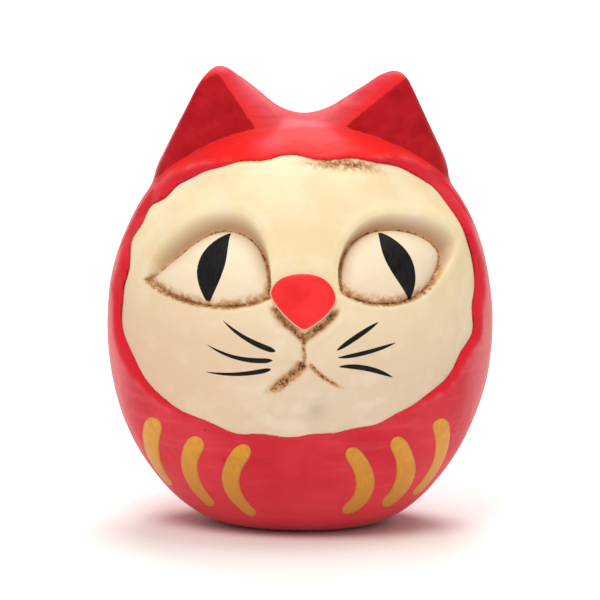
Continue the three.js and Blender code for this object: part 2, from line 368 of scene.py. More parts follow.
def opening_cut(p, shell):
    """Positive where the slanted edge of the opening leaves the hood standing."""
    x, z = p[..., 0], p[..., 2]
    gap, angle = wavy_opening(x, z)
    side = sideness(angle)
    band = BAND_NARROW + (BAND_WIDE - BAND_NARROW) * side
    inset = FACE_FLUSH + (FACE_INSET - FACE_FLUSH) * side
    return gap - band * np.maximum(1 + shell / inset, 0)


def outside(p):
    """The hood's outer surface with the ears, before the opening is cut."""
    shell = egg(p)
    crease = EAR_CREASE + (EAR_BLEND - EAR_CREASE) * smooth(-1.0, -6.0, ear_front(p))
    for shape in EARS.values():
        shell = smaller(shell, ear(p, shape), crease)
    return larger(shell, -p[..., 2], BASE_ROUND)


def skin(p, detail=True):
    """The whole red skin as a hollow shell."""
    outer = outside(p)
    if detail:
        outer = outer + lumps(p, **SKIN_LUMPS) * smooth(0.5, 5, p[..., 2])
    cut = np.maximum(opening_cut(p, outer), p[..., 1] - OPENING_BACK_Y)
    solid = larger(outer, -cut, 0.7)
    hole = PLUG_RADIUS + 0.15 - np.hypot(p[..., 0], p[..., 1])
    solid = np.maximum(solid, np.where(p[..., 2] < WALL + 2, hole, -9))
    return np.maximum(solid, -egg(p, WALL))


def gradient(field, points, reach=0.04):
    sides = np.eye(3) * reach
    return np.stack([(field(points + s) - field(points - s)) / (2 * reach) for s in sides], -1)


def settle(field, points, rounds=4):
    """Moves points onto the zero surface of field."""
    for _ in range(rounds):
        slope = gradient(field, points)
        step = field(points) / np.maximum((slope**2).sum(-1), 0.2)
        points = points - np.clip(step, -0.3, 0.3)[:, None] * slope
    return points


def unit(vectors):
    return vectors / np.maximum(np.linalg.norm(vectors, axis=-1, keepdims=True), 1e-9)


def surface_net(field, low, high, step):
    """The zero surface of field as one vertex in each grid cell that it crosses, and quads between them."""
    counts = np.ceil((high - low) / step).astype(int) + 1
    axes = [low[i] + step * np.arange(counts[i]) for i in range(3)]
    values = np.empty(counts, np.float32)
    for i, x in enumerate(axes[0]):
        sheet = np.stack(np.meshgrid([x], axes[1], axes[2], indexing="ij"), -1)[0]
        values[i] = field(sheet)
    inside = values < 0
    cells = counts - 1
    corners = [(i, j, k) for i in (0, 1) for j in (0, 1) for k in (0, 1)]
    filled = sum(
        inside[i:i + cells[0], j:j + cells[1], k:k + cells[2]].astype(np.int8) for i, j, k in corners)
    found = np.argwhere((filled > 0) & (filled < 8))
    number = np.full(cells, -1)
    number[tuple(found.T)] = np.arange(len(found))
    units = np.eye(3, dtype=int)
    spot, hits = np.zeros((len(found), 3)), np.zeros(len(found))
    quads = []
    for axis in range(3):
        for corner in corners:
            if corner[axis]:
                continue
            start = found + corner
            a, b = values[tuple(start.T)], values[tuple((start + units[axis]).T)]
            crossed = (a < 0) != (b < 0)
            share = np.where(crossed, a / np.where(crossed, a - b, 1), 0)
            spot += np.where(crossed[:, None], start + share[:, None] * units[axis], 0)
            hits += crossed
        u, v = units[(axis + 1) % 3], units[(axis + 2) % 3]
        shifted = np.roll(inside, -1, axis)
        edges = np.argwhere(inside != shifted)
        edges = edges[(edges[:, axis] < cells[axis]) & (edges @ u > 0) & (edges @ v > 0)]
        edges = edges[(edges @ u < cells @ u) & (edges @ v < cells @ v)]
        quad = np.stack([number[tuple((edges - d).T)] for d in (u + v, v, 0 * u, u)], -1)
        outward = inside[tuple(edges.T)]
        quads.append(np.where(outward[:, None], quad, quad[:, ::-1]))
    return low + step * spot / hits[:, None], np.concatenate(quads)


# ---------------------------------------------------------------- meshes

def add_piece(name, vertices, faces, material, replaces=(), masks=None, normals=None, tidy=False):
    """A mesh object from millimetres, riding on the doll's one body."""
    mesh = bpy.data.meshes.new(name)
    mesh.from_pydata((np.asarray(vertices) * MM).tolist(), [], [list(map(int, f)) for f in faces])
    for mask, values in (masks or {}).items():
        mesh.attributes.new(mask, "FLOAT", "POINT").data.foreach_set("value", np.asarray(values, np.float32))
    if tidy:
        work = bmesh.new()
        work.from_mesh(mesh)
        bmesh.ops.recalc_face_normals(work, faces=work.faces)
        work.to_mesh(mesh)
        work.free()
    mesh.polygons.foreach_set("use_smooth", np.ones(len(mesh.polygons), bool))
    mesh.update()
    if normals is not None:
        corner_vertices = np.zeros(len(mesh.loops), np.int64)
        mesh.loops.foreach_get("vertex_index", corner_vertices)
        mesh.normals_split_custom_set(normals[corner_vertices].tolist())
    mesh.materials.append(material)
    made = bpy.data.objects.new(name, mesh)
    bpy.context.scene.collection.objects.link(made)
    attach(made, "root")
    if replaces:
        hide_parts(*replaces)
    return made


def closed_rings(front, rings, back):
    """A closed surface from a front point, rings of points going outwards and round, and a back point."""
    count, spokes = rings.shape[:2]
    vertices = np.concatenate([[front], rings.reshape(-1, 3), [back]])
    here = np.arange(spokes)
    beside = (here + 1) % spokes
    faces = [(0, 1 + a, 1 + b) for a, b in zip(here, beside)]
    for ring in range(count - 1):
        inner, outer = 1 + ring * spokes, 1 + (ring + 1) * spokes
        faces += zip(inner + here, outer + here, outer + beside, inner + beside)
    last = 1 + (count - 1) * spokes
    faces += [(len(vertices) - 1, last + b, last + a) for a, b in zip(here, beside)]
    return vertices, faces


def boundary_fans(faces, vertices):
    """Closes each open edge loop of the faces with a fan to its middle."""
    edges = np.stack([faces, np.roll(faces, -1, axis=1)], -1).reshape(-1, 2)
    total = len(vertices)
    alone = edges[~np.isin(edges[:, 0] * total + edges[:, 1], edges[:, 1] * total + edges[:, 0])]
    after = {int(b): int(a) for a, b in alone}
    points, fans = [], []
    while after:
        start, here = next(iter(after.items()))
        loop = [start]
        del after[start]
        while here != start:
            loop.append(here)
            here = after.pop(here)
        number = len(vertices) + len(points)
        points.append(vertices[loop].mean(0))
        fans += [(a, b, number) for a, b in zip(loop, loop[1:] + loop[:1])]
    return points, fans


# ---------------------------------------------------------------- materials

def linear(code):
    """A #rrggbb colour as the linear values that shaders take."""
    parts = [int(code[i:i + 2], 16) / 255 for i in (1, 3, 5)]
    return [c / 12.92 if c <= 0.04045 else ((c + 0.055) / 1.055) ** 2.4 for c in parts] + [1]


class Paint:
    """One node material, built up in coats, with short calls for the nodes that the doll's paints share."""

    def __init__(self, name, roughness=0.5, specular=0.25):
        self.material = bpy.data.materials.new(name)
        self.material.use_nodes = True
        self.tree = self.material.node_tree
        self.shader = self.tree.nodes["Principled BSDF"]
        self.shader.inputs["Roughness"].default_value = roughness
        self.shader.inputs["Specular IOR Level"].default_value = specular
        self.place = self.tree.nodes.new("ShaderNodeTexCoord").outputs["Object"]

    def add(self, kind, inputs, **settings):
        made = self.tree.nodes.new(kind)
        for name, value in settings.items():
            setattr(made, name, value)
        for name, value in inputs.items():
            if isinstance(value, bpy.types.NodeSocket):
                self.tree.links.new(value, made.inputs[name])
            else:
                made.inputs[name].default_value = value
        return made

    def noise(self, size, stretch=(1, 1, 1), detail=3.0, roughness=0.55, distortion=0.0, turn=(0, 0, 0)):
        """Noise whose features are about size millimetres across, drawn out along each axis by stretch."""
        scale = [1 / s for s in stretch]
        moved = self.add("ShaderNodeMapping", {"Vector": self.place, "Scale": scale, "Rotation": turn})
        made = self.add("ShaderNodeTexNoise", {
            "Vector": moved.outputs[0], "Scale": 1 / (size * MM), "Detail": detail,
            "Roughness": roughness, "Distortion": distortion})
        return made.outputs["Fac"]

    def mask(self, name):
        return self.add("ShaderNodeAttribute", {}, attribute_name=name).outputs["Fac"]

    def step(self, value, low, high):
        made = self.add("ShaderNodeMapRange", {0: value, 1: low, 2: high}, interpolation_type="SMOOTHSTEP")
        return made.outputs[0]

    def math(self, operation, a, b):
        return self.add("ShaderNodeMath", {0: a, 1: b}, operation=operation).outputs[0]

    def plus(self, a, b):
        return self.math("ADD", a, b)

    def times(self, first, *others):
        for other in others:
            first = self.math("MULTIPLY", first, other)
        return first

    def mix(self, share, a, b):
        return self.add("ShaderNodeMix", {"Factor": share, 6: a, 7: b}, data_type="RGBA").outputs[2]

    def ground(self, share, first, second):
        """The first coat: two tones, blended by share."""
        self.tone = self.mix(share, linear(first), linear(second))

    def coat(self, tone, *shares):
        """Lays a tone over the coats so far, as thickly as all the shares multiplied together."""
        code = isinstance(tone, str)
        self.tone = self.mix(self.times(*shares), self.tone, linear(tone) if code else tone)

    def rough(self, share, low, high):
        """Roughness from low to high as share goes from 0 to 1."""
        made = self.add("ShaderNodeMapRange", {0: share, 3: low, 4: high})
        self.tree.links.new(made.outputs[0], self.shader.inputs["Roughness"])

    def relief(self, *layers):
        """Bump from (height, depth in millimetres) layers."""
        normal = None
        for height, depth in layers:
            inputs = {"Height": height, "Distance": depth * MM, "Strength": 1.0}
            if normal:
                inputs["Normal"] = normal
            normal = self.add("ShaderNodeBump", inputs).outputs[0]
        self.tree.links.new(normal, self.shader.inputs["Normal"])

    def done(self):
        self.tree.links.new(self.tone, self.shader.inputs["Base Color"])
        return self.material


def red_paint():
    """Satin red brushed on by hand: darker ear facets, dirt in the crease; painted light brightens the brow
    and pales the flanks.
    """
    paint = Paint("red_paint", specular=0.08)
    clouds = paint.noise(16, detail=4)
    strokes = paint.noise(2.2, stretch=(9, 9, 1), detail=4, distortion=0.4)
    fine = paint.noise(0.5, stretch=(8, 8, 1), detail=2)
    paint.ground(paint.step(clouds, 0.3, 0.72), "#c92535", "#d93744")
    paint.coat("#ea5661", paint.step(strokes, 0.5, 0.8), 0.4)
    paint.coat("#b81f2f", paint.step(strokes, 0.46, 0.2), 0.45)
    # painted light: lighter red towards the bottom, for light thrown up by the floor
    paint.coat("#e8444f", paint.mask("low"), 0.5)
    # painted reflection: paler pink down the left and right sides
    paint.coat("#f0898c", paint.mask("flank_sheen"), 0.5)
    # painted light: brighter, more saturated red where the hood faces up, above the face opening
    paint.coat("#f0211f", paint.mask("lit_brow"), paint.step(paint.noise(5, stretch=(3, 3, 1)), 0.25, 0.5))
    # painted highlight: paler pink on the head's top, where it faces up
    paint.coat("#e8787c", paint.mask("top"), paint.step(strokes, 0.3, 0.6), 0.4)
    paint.coat("#d6202f", paint.mask("band"))
    ear_face = paint.mask("ear_face")
    ear_tone = paint.mix(paint.step(paint.noise(4, detail=4), 0.3, 0.7), linear("#a8101a"), linear("#be1a24"))
    ragged = paint.times(paint.noise(1.8, stretch=(1, 1, 2), detail=4), 0.9)
    brushed = paint.step(paint.plus(ear_face, ragged), 0.72, 1.1)
    paint.coat(ear_tone, brushed, paint.step(ear_face, 0.0, 0.3))
    # painted highlight: pink along the crest of the slanted edge round the face
    paint.coat("#f0808a", paint.mask("crest_highlight"), paint.step(paint.noise(3.5, detail=3), 0.3, 0.7), 0.3)
    paint.coat("#7a2a1e", paint.mask("dirt"), paint.step(paint.noise(2.2, detail=5), 0.4, 0.62), 0.25)
    paint.coat("#6d1620", paint.step(paint.noise(1.7, detail=2, roughness=0.4), 0.745, 0.775), 0.35)
    paint.rough(strokes, 0.42, 0.56)
    paint.shader.inputs["Sheen Weight"].default_value = 0.12
    paint.shader.inputs["Sheen Roughness"].default_value = 0.35
    paint.relief((paint.noise(7, detail=3), 0.5), (strokes, 0.1), (fine, 0.035))
    return paint.done()


def antique(paint, stain, streaks):
    """Brown wiped into the recesses: thin and warm at first, nearly black-brown where it is thickest."""
    paint.coat("#cb9a6c", paint.step(stain, 0.05, 0.55))
    paint.coat("#7a4529", paint.step(stain, 0.38, 0.85), paint.step(streaks, 0.36, 0.6))
    paint.coat("#3c1d12", paint.step(stain, 0.75, 1.0), paint.step(streaks, 0.5, 0.62))


def cream_paint():
    """Warm gesso white with a faint brush grain, pinker low down, brown in its recesses; painted shade low
    down and in the eye coves.
    """
    paint = Paint("cream_paint")
    clouds = paint.noise(13, detail=4)
    strokes = paint.noise(1.6, stretch=(10, 2, 1), detail=4, distortion=0.5, turn=(0, 0.25, 0))
    paint.ground(paint.step(clouds, 0.3, 0.7), "#ebd3a6", "#f4e2bb")
    paint.coat("#efd6a8", paint.step(strokes, 0.5, 0.8), 0.35)
    # darker and pinker towards the bottom: partly the cream's own tint, partly painted shade
    paint.coat("#dcc4ac", paint.mask("low"), 0.8)
    chalk = paint.noise(5.5, stretch=(1.5, 1, 1), detail=4)
    paint.coat("#f1e6d2", paint.step(chalk, 0.48, 0.72), 0.4)
    paint.coat("#f4e4cc", paint.mask("pale"), 0.6)
    paint.coat("#d9b08f", paint.mask("warm"), 0.5)
    # painted shade: beige-brown in each eye's cove, above the eyeball
    paint.coat("#a87c5c", paint.mask("cove"), 0.9)
    paint.coat("#a79b8e", paint.mask("smudge"), 0.4)
    ragged = paint.noise(1.4, detail=5, roughness=0.65)
    patchy = paint.plus(paint.times(paint.step(ragged, 0.3, 0.62), 0.8), 0.25)
    antique(paint, paint.times(paint.mask("stain"), patchy), paint.noise(0.55, detail=4))
    paint.rough(clouds, 0.48, 0.62)
    paint.relief((paint.noise(9, detail=3), 0.35), (strokes, 0.06), (ragged, 0.03))
    return paint.done()


def nose_paint():
    """Bright smooth red on the front, bare cream down the sides."""
    paint = Paint("nose_paint", 0.4)
    paint.ground(paint.step(paint.noise(5, detail=3), 0.3, 0.7), "#ea2227", "#f63032")
    wobble = paint.times(paint.noise(1.0, detail=3), 0.3)
    paint.coat("#e9c7a8", paint.step(paint.plus(paint.mask("side"), wobble), 0.5, 0.75))
    paint.coat("#7a4529", paint.mask("stain"))
    paint.relief((paint.noise(3, detail=3), 0.12), (paint.noise(0.5, detail=2), 0.02))
    return paint.done()


def black_paint():
    """Lamp black with a little brush texture."""
    paint = Paint("black_paint", 0.6, 0.15)
    strokes = paint.noise(0.8, stretch=(1, 1, 5), detail=3)
    paint.ground(paint.step(strokes, 0.35, 0.7), "#0f0e11", "#1d191b")
    paint.relief((strokes, 0.04))
    return paint.done()


def gold_paint():
    """Ochre gold, thinner and browner towards the foot of each stroke, with long brush grain."""
    paint = Paint("gold_paint", 0.45)
    grain = paint.noise(0.6, stretch=(1, 1, 7), detail=4, distortion=0.3)
    blots = paint.noise(2.4, detail=4)
    paint.ground(paint.step(blots, 0.3, 0.7), "#d09036", "#e0a02c")
    paint.coat("#b97a34", paint.step(grain, 0.5, 0.75), 0.5)
    paint.coat("#c07a3c", paint.mask("foot"), paint.step(blots, 0.2, 0.6), 0.55)
    paint.coat("#d98a45", paint.mask("edge"), 0.5)
    paint.shader.inputs["Metallic"].default_value = 0.15
    paint.relief((grain, 0.06), (blots, 0.08))
    return paint.done()


def bare_paper():
    """Pasted kraft paper, inside the shell."""
    paint = Paint("bare_paper", 0.9)
    fibres = paint.noise(0.7, stretch=(6, 1, 1), detail=4)
    paint.ground(paint.step(paint.noise(6, detail=4), 0.3, 0.7), "#bda884", "#d2c09b")
    paint.coat("#a58c66", paint.step(fibres, 0.5, 0.7), 0.5)
    paint.relief((fibres, 0.08), (paint.noise(4, detail=3), 0.3))
    return paint.done()


def base_board():
    """The grey-brown board disc in the underside, scuffed where it stands."""
    paint = Paint("base_board", 0.85)
    fibres = paint.noise(0.5, stretch=(5, 2, 1), detail=4)
    scuffs = paint.noise(3.0, stretch=(1, 3, 1), detail=5, roughness=0.65)
    paint.ground(paint.step(fibres, 0.35, 0.7), "#b59a72", "#c9b088")
    paint.coat("#8d7552", paint.step(scuffs, 0.52, 0.68), 0.6)
    paint.relief((fibres, 0.06), (scuffs, 0.15))
    return paint.done()


def raw_clay():
    """The unglazed clay weight."""
    paint = Paint("raw_clay", 0.95)
    grit = paint.noise(0.5, detail=5, roughness=0.7)
    paint.ground(paint.step(paint.noise(8, detail=4), 0.3, 0.7), "#8d6c4f", "#a98664")
    paint.coat("#6b4f38", paint.step(grit, 0.55, 0.7), 0.5)
    paint.relief((grit, 0.12), (paint.noise(5, detail=3), 0.4))
    return paint.done()


def floor_paper():
    """The plain pale ground."""
    paint = Paint("floor_paper", 0.8)
    paint.ground(paint.step(paint.noise(120, detail=2), 0.3, 0.7), "#f4f3f1", "#f8f7f5")
    return paint.done()


# ---------------------------------------------------------------- pieces

def skin_masks(p):
    """Where each tone of the red paint lies, from 0 to 1 at each vertex."""
    x, y, z = p.T
    gap, angle = wavy_opening(x, z)
    band = BAND_NARROW + (BAND_WIDE - BAND_NARROW) * sideness(angle)
    front = smooth(OPENING_BACK_Y + 1, OPENING_BACK_Y - 2, y)
    facet = np.zeros(len(p))
    shell = egg(p)
    for shape in EARS.values():
        on_front = smooth(-1.6, -0.4, ear_front(p)) * smooth(0.1, 0.9, shell) * smooth(1, -2, y)
        below_line = smooth(0.6, -0.9, plane(x, z, *shape["facet"]))
        below_tip = smooth(-0.6, -2.6, plane(x, z, *shape["cap"]))
        facet = np.maximum(facet, on_front * below_line * below_tip)
    before_crease = smooth(-1.5, 0.5, ear_front(p))
    return {
        "ear_face": facet,
        # painted light on the band that faces up above the face opening
        "lit_brow": front * before_crease * smooth(66, 76, z) * (1 - facet),
        # painted highlight on the top of the head
        "top": smooth(80, 87, z) * (1 - before_crease * 0.8) * (1 - facet) * smooth(18, 8, np.abs(x)),
        "band": front * smooth(band + 0.2, band - 0.5, gap) * smooth(0.6, 1.6, band),
        # painted highlight along the crest of the slanted edge
        "crest_highlight": front * bell(gap - band, 0.55) * smooth(0.8, 1.6, band),
        "dirt": front * bell(gap, 0.42),
        # painted light from the floor, lighter towards the bottom
        "low": smooth(22, 2, z),
        # painted reflection down the sides
        "flank_sheen": smooth(34, 41, np.abs(x)) * smooth(84, 62, z),
    }


def make_skin(material):
    """The hood in two halves and the two ears, cut from one surface."""
    margin = 3 * GRID_STEP
    low = np.array(CAD_BOX[0]) / MM - margin
    high = np.array(CAD_BOX[1]) / MM + margin
    vertices, quads = surface_net(lambda p: skin(p, detail=False), low, high, GRID_STEP)
    vertices = settle(skin, vertices)
    middles = vertices[quads].mean(1)
    in_ear = np.zeros(len(quads), bool)
    for name, shape in EARS.items():
        mine = (ear(middles, shape) < egg(middles)) & (middles[:, 2] > EAR_JOINT_Z)
        in_ear |= mine
        ear_piece(name, vertices, quads[mine], material)
    points, fans = boundary_fans(quads[~in_ear], vertices)
    body_vertices = np.concatenate([vertices, points])
    hood_half("hood_front", body_vertices, [*quads[~in_ear], *fans], -1, material, ("shell_front",))
    hood_half("hood_back", body_vertices, [*quads[~in_ear], *fans], 1, material, ("shell_back",))


def compact(vertices, faces):
    """Only the vertices that the faces use."""
    used, first = np.unique(np.concatenate([np.asarray(f) for f in faces]), return_inverse=True)
    sizes = np.cumsum([len(f) for f in faces])[:-1]
    return vertices[used], np.split(first, sizes)


def ear_piece(name, vertices, quads, material):
    points, fans = boundary_fans(quads, vertices)
    own, faces = compact(np.concatenate([vertices, points]), [*quads, *fans])
    normals = unit(gradient(skin, own))
    add_piece(name, own, faces, material, (name,), skin_masks(own), normals)


def hood_half(name, vertices, faces, side, material, replaces):
    """One half of the hood (side -1 in front, 1 behind), cut along the seam and closed there."""
    mesh = bpy.data.meshes.new(name + "_whole")
    mesh.from_pydata(vertices.tolist(), [], [list(map(int, f)) for f in faces])
    work = bmesh.new()
    work.from_mesh(mesh)
    bpy.data.meshes.remove(mesh)
    everything = work.verts[:] + work.edges[:] + work.faces[:]
    cut = bmesh.ops.bisect_plane(
        work, geom=everything, dist=1e-5, plane_co=(0, SEAM_Y, 0), plane_no=(0, -side, 0), clear_outer=True)
    edges = [e for e in cut["geom_cut"] if isinstance(e, bmesh.types.BMEdge) and e.is_boundary]
    bmesh.ops.triangle_fill(work, use_beauty=False, use_dissolve=False, edges=edges, normal=(0, -side, 0))
    loose = [v for v in work.verts if not v.link_faces]
    bmesh.ops.delete(work, geom=loose, context="VERTS")
    work.verts.index_update()
    own = np.array([v.co for v in work.verts])
    made = [[v.index for v in f.verts] for f in work.faces]
    work.free()
    add_piece(name, own, made, material, replaces, skin_masks(own), unit(gradient(skin, own)))


def egg_front(x, z, inset):
    """The point of the egg, smaller by inset, at (x, z) in front view, and its outward direction."""
    a, b = HALF_WIDTH - inset, HALF_DEPTH - inset
    up = z > WAIST_Z
    power = np.where(up, RISE_POWER, DROP_POWER)
    t = np.clip(np.abs(z - WAIST_Z) / (np.where(up, RISE, DROP) - inset), 0, 1)
    width = (1 - t**power) ** (1 / power)
    y = -b * np.sqrt(np.maximum(width**2 - ((x - lean(z)) / a) ** 2, 1e-4))
    p = np.stack([x, y, z], -1)
    return p, unit(gradient(egg, p, 0.3))


def socket(points, eye):
    """How deep the face is cut round one eye, and where the cove's painted shade and its crease lie."""
    depth, cove, crease = np.zeros(len(points)), np.zeros(len(points)), np.zeros(len(points))
    line = closed_outline(eye["rim"])
    near = np.all((points > line.min(0) - 5) & (points < line.max(0) + 5), axis=1)
    here = points[near]
    lid, rim = outline_gap(here, eye["lid"]), -outline_gap(here, eye["rim"])
    full = edge_depth(here[:, 1])
    share = np.clip(rim / np.maximum(rim + np.maximum(lid, 0), 0.05), 0, 1) * (rim > 0)
    share = smooth(0, 1, share)
    depth[near] = full * share + 1.0 * smooth(0, -0.6, lid) - 0.22 * bell(rim + 0.9, 0.9) * (rim < 0.3)
    # painted shade, deepest near the eyeball's top edge
    cove[near] = share**0.6 * smooth(-0.2, 0.4, lid) * smooth(54, 61, here[:, 1])
    crease[near] = bell(lid, 0.55)
    return depth, cove, crease


def edge_depth(z):
    """How deep the eyeball's edge lies below the face: deeper along the top."""
    return LID_DEPTH + (CREASE_DEPTH - LID_DEPTH) * smooth(54, 63, z)


def mouth_line(points, line, width, depth):
    """A carved line, widest near its start: its depth and its stain."""
    gap, along = line_gap(points, bezier(line, 24))
    taper = smooth(1.02, 0.55, along) * smooth(-0.01, 0.12, along)
    return depth * taper * bell(gap, width * (0.35 + 0.65 * taper)), taper * bell(gap, width * 0.9)


def face_relief(x, z):
    """Height of the carved face above its plain surface, in millimetres, with the masks of its paint."""
    points = np.stack([x, z], -1)
    gap, _ = opening(x, z)
    height = lumps(points, **FACE_LUMPS)
    stain, cove = np.zeros(len(x)), np.zeros(len(x))
    for eye in EYES.values():
        depth, hollow, crease = socket(points, eye)
        height = height - depth
        cove = np.maximum(cove, hollow)
        low_lid = smooth(58, 54, z)
        stain = np.maximum(stain, crease * (0.9 + 0.1 * low_lid))
    nose = outline_gap(points, NOSE)
    for side in (-1, 1):
        across = (x - MUZZLE["x"] - side * MUZZLE["apart"]) / 1.15
        height = height + MUZZLE["height"] * bell(np.hypot(across, z - MUZZLE["z"]), MUZZLE["radius"])
    height = height + CHIN["height"] * bell(np.hypot(x - CHIN["x"], (z - CHIN["z"]) / 0.8), CHIN["radius"])
    groove, along = line_gap(points, GROOVE)
    ends = smooth(0, 0.14, along) * smooth(1, 0.86, along)
    lip = 0.25 * bell(groove - 2.2, 0.9) * (nose > 2)
    height = height - ends * (GROOVE_DEPTH * bell(groove, 0.95) - lip)
    stain = np.maximum(stain, ends * bell(groove, 0.85) * 1.1)
    for line, width, depth, dark in MOUTH_LINES:
        cut, brown = mouth_line(points, line, width, depth)
        height = height - cut
        stain = np.maximum(stain, brown * dark)
    rim_stain = 0.12 * bell(gap, 0.35)
    patch_x = bell(x - WORN_PATCH["x"], WORN_PATCH["half_width"])
    patch = 0.95 * patch_x * bell(gap + 0.9, WORN_PATCH["half_height"]) * smooth(74, 78, z)
    masks = {
        "stain": np.maximum.reduce([stain, rim_stain, patch]),
        "cove": cove,
        # partly tint, partly painted shade: darker towards the bottom
        "low": smooth(62, 34, z),
        "warm": smooth(2, -34, x) * smooth(66, 40, z),
        "smudge": bell(np.hypot(x - SMUDGE["x"], z - SMUDGE["z"]), SMUDGE["radius"]),
        "pale": np.zeros(len(x)),
    }
    return height, masks


def face_point(x, z, raised=0.0):
    """Points on the carved face, raised above it."""
    base, out = egg_front(x, z, face_inset(x, z))
    height, masks = face_relief(x, z)
    return base + out * (height + raised)[:, None], masks


def face_outline(count):
    """The face's edge in front view, just under the hood's edge."""
    angle = np.linspace(0, 2 * math.pi, count, endpoint=False)
    across, up = np.cos(angle), np.sin(angle)
    power = np.where(up > 0, FACE_RISE_POWER, FACE_DROP_POWER)
    x = FACE_HALF_WIDTH * np.sign(across) * np.abs(across) ** (2 / power)
    z = np.where(up > 0, FACE_RISE, FACE_DROP) * np.sign(up) * np.abs(up) ** (2 / power)
    line = np.stack([FACE_X + x, FACE_Z + z + FACE_SKEW * x], -1)
    middle = np.array([FACE_X, FACE_Z])
    for _ in range(3):
        gap, _ = wavy_opening(*line.T)
        line = line - unit(line - middle) * (gap - FACE_TUCK)[:, None]
    return line


def make_face(material):
    """The face: rings from under the nose out to the edge, turned back there and closed behind."""
    edge = face_outline(SPOKES)
    pole = np.array(NOSE_CENTRE)
    shares = np.linspace(0, 1, FACE_RINGS + 1)[1:]
    flat = pole + shares[:, None, None] * (edge - pole)
    x, z = flat.reshape(-1, 2).T
    front, masks = face_point(x, z)
    front = front.reshape(FACE_RINGS, SPOKES, 3)
    _, out = egg_front(*edge.T, 1.0)
    skirt = [front[-1] - out * drop for drop in (0.8, 2.0)]
    behind = []
    for share in (0.9, 0.6, 0.3):
        p, _ = egg_front(*(pole + share * (edge - pole)).T, FACE_BACK_INSET)
        behind.append(p)
    rings = np.concatenate([front, skirt, behind])
    tip, _ = face_point(*pole[:, None])
    back, _ = egg_front(*pole[:, None], FACE_BACK_INSET)
    vertices, faces = closed_rings(tip[0], rings, back[0])
    spare = len(vertices) - 1 - FACE_RINGS * SPOKES
    padded = {name: np.concatenate([[0], values, np.zeros(spare)]) for name, values in masks.items()}
    add_piece("carved_face", vertices, faces, material, ("face_panel",), padded)


def eye_frame(eye):
    """The eyeball's middle in front view, and the distance to its edge in each direction."""
    line = closed_outline(eye["lid"], 60)
    middle = (line.min(0) + line.max(0)) / 2
    reach = line - middle
    angle = np.arctan2(reach[:, 1], reach[:, 0])
    order = np.argsort(angle)
    return middle, angle[order], np.hypot(*reach.T)[order]


def eye_point(eye, x, z, raised=0.0):
    """Points on an eyeball's dome, raised above it, and how far out each one is, from 0 to 1."""
    middle, angles, radii = eye_frame(eye)
    dx, dz = x - middle[0], z - middle[1]
    reach = np.interp(np.arctan2(dz, dx), angles, radii, period=2 * math.pi)
    share = np.hypot(dx, dz) / reach
    edge_z = middle[1] + dz / np.maximum(share, 0.05)
    edge = edge_depth(edge_z) + 0.15
    dome = (1 - np.clip(share, 0, 1) ** 2.3) ** 0.72
    base, out = egg_front(x, z, face_inset(x, z))
    return base + out * (-edge + (edge + EYE_APEX) * dome + raised)[:, None], share


def make_eyeball(name, eye, material):
    """A domed, almond eyeball, closed behind."""
    middle, _, _ = eye_frame(eye)
    edge = closed_outline(eye["lid"], 55)
    shares = np.sin(np.linspace(0, math.pi / 2, 46)[1:])
    flat = middle + shares[:, None, None] * (edge - middle)
    x, z = flat.reshape(-1, 2).T
    front, _ = eye_point(eye, x, z)
    rings = front.reshape(len(shares), len(edge), 3)
    _, out = egg_front(*edge.T, 1.0)
    skirt = rings[-1] - out * 0.9
    tip, _ = eye_point(eye, *middle[:, None])
    vertices, faces = closed_rings(tip[0], np.concatenate([rings, [skirt]]), skirt.mean(0))
    x, z = vertices[:, 0], vertices[:, 2]
    lid = -outline_gap(np.stack([x, z], -1), eye["lid"])
    low = smooth(60, 54.5, z)
    masks = {
        "stain": np.maximum(bell(lid, 0.35) * 0.8, low * bell(lid, 1.8) * 0.6),
        # painted shade along the eyeball's top, under the cove
        "cove": 0.35 * bell(lid, 2.2) * (1 - low),
        # partly tint, partly painted shade: darker towards the eyeball's bottom
        "low": 0.35 * smooth(64, 52, z),
        "warm": 0.25 * low,
        "smudge": np.zeros(len(x)),
        "pale": np.ones(len(x)),
    }
    add_piece(name, vertices, faces, material, (name,), masks)


def make_nose(material):
    """The nose: a flat-fronted button with rounded edges, its sides spreading to the face."""
    middle = np.array(NOSE_CENTRE)
    edge = closed_outline(NOSE, 40)
    away = unit(edge - middle)
    rings, sides = [], []
    profile = [(share, 0.0, 1.0 - NOSE_CROWN * share**2, 0.0) for share in np.linspace(0, 0.93, 24)[1:]]
    profile += [(1.0, *row) for row in NOSE_EDGE]
    for share, spread, stand, side in profile:
        flat = middle + share * (edge - middle) + spread * away
        p, out = egg_front(*flat.T, FACE_MIDDLE_INSET)
        rings.append(p + out * (stand * NOSE_STAND))
        sides.append(np.full(len(edge), side))
    tip, out = egg_front(*middle[:, None], FACE_MIDDLE_INSET)
    vertices, faces = closed_rings((tip + out * NOSE_STAND)[0], np.array(rings), rings[-1].mean(0))
    side = np.concatenate([[0], np.concatenate(sides), [1]])
    deep = np.concatenate([[0], np.repeat([stand < 0.1 for _, _, stand, _ in profile], len(edge)), [1]])
    low = smooth(55.5, 53.5, vertices[:, 2])
    masks = {"side": side, "stain": deep * low}
    add_piece("nose_button", vertices, faces, material, ("nose",), masks)


